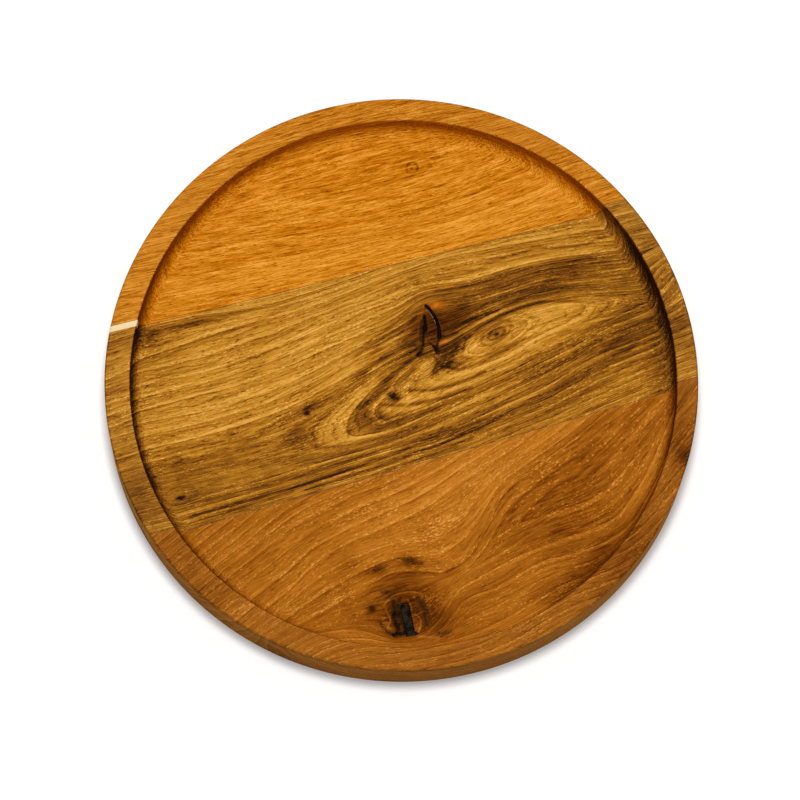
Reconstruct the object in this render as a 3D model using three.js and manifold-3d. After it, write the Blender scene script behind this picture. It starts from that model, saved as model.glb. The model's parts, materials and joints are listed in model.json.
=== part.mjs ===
// A round wooden serving board: three hardwood staves edge-glued into a disc, turned with a
// flat-topped rim around a recessed floor, with two open knots filled with dark resin.
// Millimetres, +Z up, X along the grain. The origin is the centre of the underside.

import * as THREE from 'three';
import { mergeVertices } from 'three/addons/utils/BufferGeometryUtils.js';
import Module from 'manifold-3d';

const wasm = await Module();
wasm.setup();

// Board
const boardDiameter = 300;
const boardHeight = 30;
const rimOuterEase = 1.2;
const footEase = 2;

// Recess, cut a little off centre
const rimWidth = 11.9;
const recessDepth = 14;
const recessShiftX = 1;
const recessShiftY = -0.25;
const coveRadius = 6.5;
const rimInnerEase = 0.8;

// Glue joints: where each crosses the Y axis, and its turn away from X
const backJointY = 63.7;
const frontJointY = -41.3;
const frontJointTurn = THREE.MathUtils.degToRad(2);
const glueFilm = 0.2;
const glueClearance = 0.3;
const glueSetback = 0.3;

// Knot in the middle stave: a curved crack, measured from the back joint
const middleKnotX = 26.2;
const middleKnotFromJoint = 33.9;
const middleKnotLength = 17.6;
const middleKnotBulge = 2;
const middleKnotWidth = 1.4;
const middleKnotTurn = THREE.MathUtils.degToRad(7.5);

// Knot in the front stave: a slot with one round end and a flared foot, measured from the recess wall
const frontKnotX = -27.8;
const frontKnotFromWall = 20.5;
const frontKnotLength = 17;
const frontKnotWidth = 4.4;
const frontKnotFlare = 1.6;
const frontKnotFlareHeight = 3.2;
const frontKnotToe = 0.8;
const frontKnotTurn = THREE.MathUtils.degToRad(-3);

// Resin in the knots
const resinDepth = 6;
const resinSink = 0.5;
const resinClearance = 0.3;

// Facets
const turnSegments = 120;
const edgeSteps = 3;
const coveSteps = 5;
const outlineSteps = 8;

const boardRadius = boardDiameter / 2;
const recessRadius = boardRadius - rimWidth;
const floorHeight = boardHeight - recessDepth;
const jointHalfGap = glueFilm / 2 + glueClearance;
const quarter = Math.PI / 2;

const backJoint = { y: backJointY, turn: 0 };
const frontJoint = { y: frontJointY, turn: frontJointTurn };

// Points of a circular arc in a radius-height profile
function profileArc(centreR, centreZ, radius, from, to, steps) {
  const points = [];
  for (let i = 0; i <= steps; i++) {
    const angle = from + ((to - from) * i) / steps;
    points.push(new THREE.Vector2(centreR + radius * Math.cos(angle), centreZ + radius * Math.sin(angle)));
  }
  return points;
}

// A closed solid from a geometry: only positions are kept, and points that coincide are merged
function solidOf(geometry) {
  geometry.deleteAttribute('normal');
  geometry.deleteAttribute('uv');
  const merged = mergeVertices(geometry);
  const corners = merged.index.array;
  const triangles = [];
  for (let i = 0; i < corners.length; i += 3) {
    const [a, b, c] = [corners[i], corners[i + 1], corners[i + 2]];
    if (a !== b && b !== c && c !== a) triangles.push(a, b, c);
  }
  return new wasm.Manifold(new wasm.Mesh({
    numProp: 3,
    vertProperties: new Float32Array(merged.attributes.position.array),
    triVerts: new Uint32Array(triangles),
  }));
}

// A profile of (radius, height) points turned about the Z axis
function turned(profile) {
  return solidOf(new THREE.LatheGeometry(profile, turnSegments).rotateX(quarter));
}

// The disc before the recess is cut, with its lower and upper edges rounded
function blank(inset) {
  const radius = boardRadius - inset;
  const low = inset;
  const high = boardHeight - inset;
  return turned([
    new THREE.Vector2(0, low),
    ...profileArc(radius - footEase, low + footEase, footEase, -quarter, 0, edgeSteps),
    ...profileArc(radius - rimOuterEase, high - rimOuterEase, rimOuterEase, 0, quarter, edgeSteps),
    new THREE.Vector2(0, high),
  ]);
}

// What the recess removes: a flat floor, a cove, a straight wall and a rounded rim edge
function recess(inset) {
  const radius = recessRadius + inset;
  const floor = floorHeight - inset;
  const rim = boardHeight - inset;
  const lip = radius + rimInnerEase;
  return turned([
    new THREE.Vector2(0, floor),
    ...profileArc(radius - coveRadius, floor + coveRadius, coveRadius, -quarter, 0, coveSteps),
    ...profileArc(lip, rim - rimInnerEase, rimInnerEase, 2 * quarter, quarter, edgeSteps),
    new THREE.Vector2(lip, rim + recessDepth),
    new THREE.Vector2(0, rim + recessDepth),
  ]).translate([recessShiftX, recessShiftY, 0]);
}

// The whole tray, with every surface moved in by the inset
function tray(inset) {
  return blank(inset).subtract(recess(inset));
}

// Everything beyond a line parallel to a joint: side +1 is towards the back, -1 towards the front
function beyond(joint, side, gap) {
  const reach = boardDiameter;
  const block = new THREE.BoxGeometry(2 * reach, reach, 2 * reach);
  block.translate(0, side * (gap + reach / 2), 0);
  block.rotateZ(joint.turn);
  block.translate(0, joint.y, 0);
  return solidOf(block);
}

// The cured glue in a joint, scraped a little below every surface
function glueLine(joint) {
  const film = beyond(joint, 1, -glueFilm / 2).intersect(beyond(joint, -1, -glueFilm / 2));
  return tray(glueSetback).intersect(film);
}

// A crack along an arc, with round ends, its middle bulging towards +X
function curvedCrack(grow) {
  const half = middleKnotLength / 2;
  const arcRadius = (half * half + middleKnotBulge * middleKnotBulge) / (2 * middleKnotBulge);
  const sweep = Math.asin(half / arcRadius);
  const halfWidth = middleKnotWidth / 2 + grow;
  const centreX = -arcRadius;
  const endX = centreX + arcRadius * Math.cos(sweep);
  const shape = new THREE.Shape();
  shape.absarc(centreX, 0, arcRadius + halfWidth, -sweep, sweep, false);
  shape.absarc(endX, half, halfWidth, sweep, sweep + Math.PI, false);
  shape.absarc(centreX, 0, arcRadius - halfWidth, sweep, -sweep, true);
  shape.absarc(endX, -half, halfWidth, Math.PI - sweep, 2 * Math.PI - sweep, false);
  return shape;
}

// An upright slot with a round far end, and a near end with a toe that flares towards +X
function flaredSlot(grow) {
  const halfWidth = frontKnotWidth / 2 + grow;
  const near = -frontKnotLength / 2;
  const toeTop = near + frontKnotToe + grow;
  const archCentre = frontKnotLength / 2 - frontKnotWidth / 2;
  const shape = new THREE.Shape();
  shape.moveTo(-halfWidth, near - grow);
  shape.lineTo(halfWidth + frontKnotFlare, near - grow);
  shape.lineTo(halfWidth + frontKnotFlare, toeTop);
  shape.quadraticCurveTo(halfWidth, toeTop, halfWidth, toeTop + frontKnotFlareHeight);
  shape.lineTo(halfWidth, archCentre);
  shape.absarc(0, archCentre, halfWidth, 0, Math.PI, false);
  shape.closePath();
  return shape;
}

// An outline carried from one height to another, turned and placed over a point of the board
function upright(shape, place, low, high) {
  const geometry = new THREE.ExtrudeGeometry(shape, {
    depth: high - low,
    bevelEnabled: false,
    curveSegments: outlineSteps,
  });
  return solidOf(geometry.rotateZ(place.turn).translate(place.x, place.y, low));
}

// A pocket opens through the floor, and the resin in it stands just below the surface
function knotPocket(knot) {
  const low = floorHeight - resinSink - resinDepth - resinClearance;
  return upright(knot.outline(resinClearance), knot.place, low, floorHeight + resinDepth);
}

function knotFill(knot) {
  const high = floorHeight - resinSink;
  return upright(knot.outline(0), knot.place, high - resinDepth, high);
}

const middleKnot = {
  outline: curvedCrack,
  place: { x: middleKnotX, y: backJointY - middleKnotFromJoint, turn: middleKnotTurn },
};
const frontKnot = {
  outline: flaredSlot,
  place: { x: frontKnotX, y: recessShiftY - recessRadius + frontKnotFromWall, turn: frontKnotTurn },
};

const wholeTray = tray(0);

const backStave = wholeTray.intersect(beyond(backJoint, 1, jointHalfGap));
const middleStave = wholeTray
  .intersect(beyond(backJoint, -1, jointHalfGap))
  .intersect(beyond(frontJoint, 1, jointHalfGap))
  .subtract(knotPocket(middleKnot));
const frontStave = wholeTray
  .intersect(beyond(frontJoint, -1, jointHalfGap))
  .subtract(knotPocket(frontKnot));

const backWood = new THREE.MeshStandardMaterial({ color: 0xb06a1c, roughness: 0.5, metalness: 0 });
const middleWood = new THREE.MeshStandardMaterial({ color: 0x9a651c, roughness: 0.5, metalness: 0 });
const frontWood = new THREE.MeshStandardMaterial({ color: 0xa05c1e, roughness: 0.5, metalness: 0 });
const glue = new THREE.MeshStandardMaterial({ color: 0x4a2c12, roughness: 0.6, metalness: 0 });
const resin = new THREE.MeshStandardMaterial({ color: 0x17110c, roughness: 0.15, metalness: 0 });

const board = new THREE.Group();

function addPiece(name, solid, material) {
  const { vertProperties, triVerts } = solid.getMesh();
  const geometry = new THREE.BufferGeometry();
  geometry.setAttribute('position', new THREE.BufferAttribute(vertProperties, 3));
  geometry.setIndex(new THREE.BufferAttribute(triVerts, 1));
  geometry.computeVertexNormals();
  const piece = new THREE.Mesh(geometry, material);
  piece.name = name;
  board.add(piece);
}

addPiece('back_stave', backStave, backWood);
addPiece('middle_stave', middleStave, middleWood);
addPiece('front_stave', frontStave, frontWood);
addPiece('back_glue_line', glueLine(backJoint), glue);
addPiece('front_glue_line', glueLine(frontJoint), glue);
addPiece('middle_knot_fill', knotFill(middleKnot), resin);
addPiece('front_knot_fill', knotFill(frontKnot), resin);

export default board;
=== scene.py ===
"""Looks of a round wooden serving board: three glued staves with grown figure, and resin in two knots."""
import json
import math
from collections import namedtuple

import bmesh
import bpy
import numpy as np
from mathutils import Matrix, Vector


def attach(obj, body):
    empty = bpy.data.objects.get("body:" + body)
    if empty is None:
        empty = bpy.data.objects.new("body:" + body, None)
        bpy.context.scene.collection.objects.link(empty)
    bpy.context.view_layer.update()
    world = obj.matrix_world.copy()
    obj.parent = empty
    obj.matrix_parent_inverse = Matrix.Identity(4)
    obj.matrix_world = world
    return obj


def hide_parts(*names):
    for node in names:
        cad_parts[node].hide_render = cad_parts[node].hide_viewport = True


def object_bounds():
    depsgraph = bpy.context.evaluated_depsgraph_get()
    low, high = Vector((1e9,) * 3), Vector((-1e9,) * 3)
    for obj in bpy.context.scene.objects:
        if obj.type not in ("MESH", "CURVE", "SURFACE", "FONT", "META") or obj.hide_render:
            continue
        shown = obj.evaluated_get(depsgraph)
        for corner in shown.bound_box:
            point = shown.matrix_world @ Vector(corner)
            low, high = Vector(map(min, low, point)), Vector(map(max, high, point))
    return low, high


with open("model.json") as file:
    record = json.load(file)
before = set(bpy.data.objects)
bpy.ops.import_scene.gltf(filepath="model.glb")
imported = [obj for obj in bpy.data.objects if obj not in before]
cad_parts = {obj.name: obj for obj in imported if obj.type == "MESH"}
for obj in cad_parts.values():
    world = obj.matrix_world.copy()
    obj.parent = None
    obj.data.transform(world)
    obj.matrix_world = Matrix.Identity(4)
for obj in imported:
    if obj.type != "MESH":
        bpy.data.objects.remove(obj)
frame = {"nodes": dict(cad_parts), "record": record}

# Sizes in millimetres, taken from the frame where it holds them
MM = 0.001
CAD_LOW, CAD_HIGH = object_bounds()
MOUNTS = {mount["name"]: mount for mount in frame["record"]["mounts"]}
BOARD_RADIUS = (CAD_HIGH.x - CAD_LOW.x) / 2 / MM
BOARD_HEIGHT = CAD_HIGH.z / MM
FLOOR_HEIGHT = MOUNTS["serving_floor"]["pos_m"][2] / MM
RIM_WIDTH = 11.9
RECESS_RADIUS = BOARD_RADIUS - RIM_WIDTH
RECESS_SHIFT = np.array([1.0, -0.25])
COVE_RADIUS = 6.5
RIM_INNER_EASE = 0.8
RIM_OUTER_EASE = 1.2
FOOT_EASE = 2.0

# Glue joints: where each crosses the Y axis, its turn in degrees, and half of the gap that shows
BACK_JOINT = (63.7, 0.0)
FRONT_JOINT = (-41.3, 2.0)
JOINT_HALF_GAP = 0.11

# Crack of the middle knot and slot of the front knot
CRACK_PLACE = (26.2, BACK_JOINT[0] - 33.9)
CRACK_LENGTH = 17.6
CRACK_BULGE = 2.0
CRACK_WIDTH = 1.4
CRACK_TURN = 7.5
CRACK_LIP = 0.6
SLOT_PLACE = (-27.8, RECESS_SHIFT[1] - RECESS_RADIUS + 20.5)
SLOT_LENGTH = 17.0
SLOT_WIDTH = 4.4
SLOT_FLARE = 1.6
SLOT_FLARE_HEIGHT = 3.2
SLOT_TOE = 0.8
SLOT_TURN = -3.0
SLOT_LIP = 0.35

# Resin in both, and the loops of its top: shares of the lip's width from the edge inwards
RESIN_TOP = FLOOR_HEIGHT - 0.5
RESIN_DEPTH = 6.0
RESIN_DIP = 0.3
RESIN_CLEARANCE = 0.12
LIP_SHARES = np.array([0, 0, 0.2, 0.45, 0.7, 1.0, 1.1])

# Mesh: cells and steps, the underside's share of the floor's cells, and its reach towards the foot
FLOOR_CELLS = (200, 480)
UNDER_SHARE = 8
UNDER_REACH = 0.97
COVE_STEPS = 10
WALL_STEPS = 5
EDGE_STEPS = 4
RIM_STEPS = 9
SIDE_STEPS = 12
CRACK_STEPS = 24
CRACK_END_STEPS = 8
SLOT_FLARE_POINTS = 10
SLOT_ARCH_STEPS = 16
SHARP_EDGE = math.radians(40)

# Cutting: the saw's tolerance in metres, and which points of the floor drop into a pocket or snap to its edge
SAW_TOLERANCE = 1e-7
FLOOR_TOLERANCE = 0.01
POCKET_REACH = 2.0
EDGE_SNAP = 0.16

# Camera, measured from the ellipses of the rim
VIEW_ELEVATION = math.radians(74.57)
VIEW_TURN = math.radians(-18.2)
VIEW_ROLL = math.radians(-3.58)
VIEW_DISTANCE = 2.048
VIEW_TARGET = Vector((-0.0002, -0.0028, 0))
VIEW_LENS = 180.0
VIEW_SENSOR = 36.0

# Light and floor: metres, watts and strengths
LAMP_PLACE = (0, 0.03, 1.8)
LAMP_SIZE = 0.3
LAMP_POWER = 23.5
SURROUND = 0.32
FLOOR_GREY = 0.8
FLOOR_LIFT = 0.24
FLOOR_REACH = 4000
FLOOR_DROP = 0.2

# Darkness of the rim, and painted shade on the recess's wall and cove, which varies round the recess and
# fades in above the floor
RIM_TONE = 0.12
WALL_SHADE = 0.15
WALL_SHADE_UNEVEN = 0.75
WALL_SHADE_DARKEST = math.radians(160)
WALL_SHADE_START = 0.2
WALL_SHADE_FADE = 3.0

# Darkness of the outer side: its tone, painted shade round the board and from top to foot, and a dark line
# under the rim
SIDE_TONE = -0.02
SIDE_SHADE_UNEVEN = 0.13
SIDE_SHADE_DARKEST = math.radians(250)
SIDE_SHADE_TO_FOOT = 0.2
EDGE_LINE = 0.14
EDGE_LINE_DROP = 2.4
EDGE_LINE_WIDTH = 1.2

# Wear of the rim's top, the height that it fades in over, and how near a point counts as on a turned surface
RIM_WEAR = 1 / 3
RIM_FADE = 1.5
SKIN = 0.3

# Growth: how far fibres follow its lines, reach of the lean and the dome beside the axis, thinnest ring,
# and steps of a stroke's curve for each of its points
FIBRE_BEND = 0.9
LEAN_REACH = 15
DOME_REACH = 25
THINNEST_RING = 0.4
STROKE_STEPS = 6

Spot = namedtuple("Spot", "x y long wide turn amount")
Stroke = namedtuple("Stroke", "width amount points")
Zone = namedtuple("Zone", "x y radius cuts")


# Growth figure

def flow(x, points):
    """Smooth line y(x) through given points: cubic Hermite, central slopes, straight past its ends."""
    px, py = np.transpose(np.array(points, float))
    slope = np.gradient(py, px)
    i = np.clip(np.searchsorted(px, x) - 1, 0, len(px) - 2)
    span = px[i + 1] - px[i]
    t = np.clip((x - px[i]) / span, 0, 1)
    start = (1 + 2 * t) * (1 - t) ** 2 * py[i] + t * (1 - t) ** 2 * span * slope[i]
    end = t * t * (3 - 2 * t) * py[i + 1] + t * t * (t - 1) * span * slope[i + 1]
    before = np.minimum(x - px[0], 0) * slope[0]
    after = np.maximum(x - px[-1], 0) * slope[-1]
    return start + end + before + after


def nearest(x, y, path):
    """Nearest place on a chain of straight pieces: its distance and its coordinates."""
    start, span = path[:-1], np.diff(path, axis=0)
    from_start = np.stack([x, y], 1)[:, None] - start
    along = np.clip((from_start * span).sum(2) / (span * span).sum(1), 0, 1)
    offset = from_start - along[..., None] * span
    best = np.argmin((offset ** 2).sum(2), 1)
    offset = offset[np.arange(len(x)), best]
    return np.hypot(*offset.T), np.stack([x, y], 1) - offset


def around(x, y, path, reach):
    """Which points lie within reach of the box around a path."""
    low, high = path.min(0) - reach, path.max(0) + reach
    return (x > low[0]) & (x < high[0]) & (y > low[1]) & (y < high[1])


def spotted(x, y, spot):
    """Gaussian hump over a turned ellipse."""
    c, s = math.cos(math.radians(spot.turn)), math.sin(math.radians(spot.turn))
    u = ((x - spot.x) * c + (y - spot.y) * s) / spot.long
    v = ((y - spot.y) * c - (x - spot.x) * s) / spot.wide
    return spot.amount * np.exp(-(u * u + v * v))


def stroked(x, y, stroke):
    """Soft line along a smooth curve through given points: a Gaussian of the distance to it."""
    points = np.array(stroke.points, float)
    steps = np.concatenate([[0], np.cumsum(np.hypot(*np.diff(points, axis=0).T))])
    t = np.linspace(0, steps[-1], STROKE_STEPS * len(points))
    path = np.stack([flow(t, list(zip(steps, points[:, k]))) for k in (0, 1)], 1)
    result = np.zeros(len(x))
    close = around(x, y, path, 3 * stroke.width)
    if close.any():
        gap, _ = nearest(x[close], y[close], path)
        result[close] = stroke.amount * np.exp(-(gap / stroke.width) ** 2)
    return result


def marked(x, y, marks):
    """Sum of spots and strokes."""
    total = np.zeros(len(x))
    for mark in marks:
        total += spotted(x, y, mark) if isinstance(mark, Spot) else stroked(x, y, mark)
    return total


def growth(points, figure):
    """Ring count and straightened cross-grain place of each point.

    On the floor, rings are read between given growth lines, outwards from the figure's axis, where the
    count is the figure's depth. Above and below the floor the lines lean across the grain, by an amount set
    at each side.
    """
    x, y, z = points.T
    axis = flow(x, figure["axis"])
    rise = z - FLOOR_HEIGHT
    side = y - axis
    far_share = 0.5 + 0.5 * np.tanh(side / LEAN_REACH)
    lean = (1 - far_share) * flow(x, figure["near_lean"]) + far_share * flow(x, figure["far_lean"])
    y = y - lean * rise
    depth = flow(x, figure["depth"]) + figure["dome"] * rise * np.exp(-(side / DOME_REACH) ** 2)
    ring = depth
    home = np.mean(np.array(figure["axis"])[:, 1])
    cross = np.full(len(x), home)
    for sign, lines in ((1, figure["far"]), (-1, figure["near"])):
        inner, inner_level, inner_home, power = axis, depth, home, figure["tip"]
        for level, line in lines:
            outer = flow(x, line)
            outer_home = np.mean(np.array(line)[:, 1])
            share = np.clip(sign * (y - inner) / np.maximum(sign * (outer - inner), THINNEST_RING), 0, 1)
            ring = ring + (level - inner_level) * share ** power
            cross = cross + (outer_home - inner_home) * share
            inner, inner_level, inner_home, power = outer, level, outer_home, 1
        beyond = np.maximum(sign * (y - inner), 0)
        ring = ring + beyond / figure["spacing"]
        cross = cross + sign * beyond
    cross = (1 - FIBRE_BEND) * y + FIBRE_BEND * cross
    return ring + marked(x, y, figure["knots"]), cross


def wear_and_side_shade(points):
    """1 on the outer side of the board and on its underside, a third on the rim's top, 0 elsewhere: where the
    wood is dull and dry, and where the outer side's painted shade is laid.
    """
    x, y, z = points.T
    side = (np.hypot(x, y) > BOARD_RADIUS - SKIN) & (z < BOARD_HEIGHT - RIM_OUTER_EASE / 2)
    return np.where(side | (z < FOOT_EASE), 1.0, RIM_WEAR * np.clip(z - BOARD_HEIGHT + RIM_FADE, 0, 1))


def toning(points, ring, figure):
    """Darkness of each point: the tone of its ring, marks of the floor and the rim, painted shade on the
    recess's wall, and painted shade with a dark line on the outer side.
    """
    x, y, z = points.T
    levels, tones = np.transpose(figure["tones"])
    bearing = np.arctan2(y, x)
    rise = z - FLOOR_HEIGHT
    on_rim = np.clip(rise / (BOARD_HEIGHT - FLOOR_HEIGHT) * 2 - 1, 0, 1)
    floor_part = (1 - on_rim) * marked(x, y, figure["stains"])
    rim_part = on_rim * (RIM_TONE + marked(x, y, figure["rim_stains"]))
    # Painted shade on the recess's wall and cove, uneven round the recess and fading in above the floor
    in_recess = np.hypot(x - RECESS_SHIFT[0], y - RECESS_SHIFT[1]) < RECESS_RADIUS + SKIN
    wall_shade_round = 1 + WALL_SHADE_UNEVEN * np.cos(bearing - WALL_SHADE_DARKEST)
    wall_shade = WALL_SHADE * wall_shade_round * in_recess * np.clip((rise - WALL_SHADE_START) / WALL_SHADE_FADE, 0, 1)
    # Painted shade on the outer side, changing round the board and deeper towards the foot, plus a darker
    # line under the rim; the mask also lays a third of it on the rim's top
    side_shade_round = SIDE_SHADE_UNEVEN * np.cos(2 * (bearing - SIDE_SHADE_DARKEST))
    under_rim = EDGE_LINE * np.exp(-((BOARD_HEIGHT - EDGE_LINE_DROP - z) / EDGE_LINE_WIDTH) ** 2)
    side_shade_and_line = SIDE_TONE + side_shade_round + under_rim + SIDE_SHADE_TO_FOOT * (0.5 - z / BOARD_HEIGHT)
    return np.interp(ring, levels, tones) + floor_part + rim_part + wall_shade + side_shade_and_line * wear_and_side_shade(points)


def sapwood_and_highlight(points, figure):
    """Depth in millimetres inside the pale outer wood of the tree left at a top corner of the stave, negative
    outside; where the painted highlight beside the crack is larger, its amount.
    """
    if "sap" not in figure:
        return np.full(len(points), -1.0)
    x, y, z = points.T
    y_from, x_to, z_from = figure["sap"]
    corner = np.minimum(np.minimum(y - y_from, x_to - x), z - z_from)
    return np.maximum(corner, marked(x, y, figure["painted_highlight"]))
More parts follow.
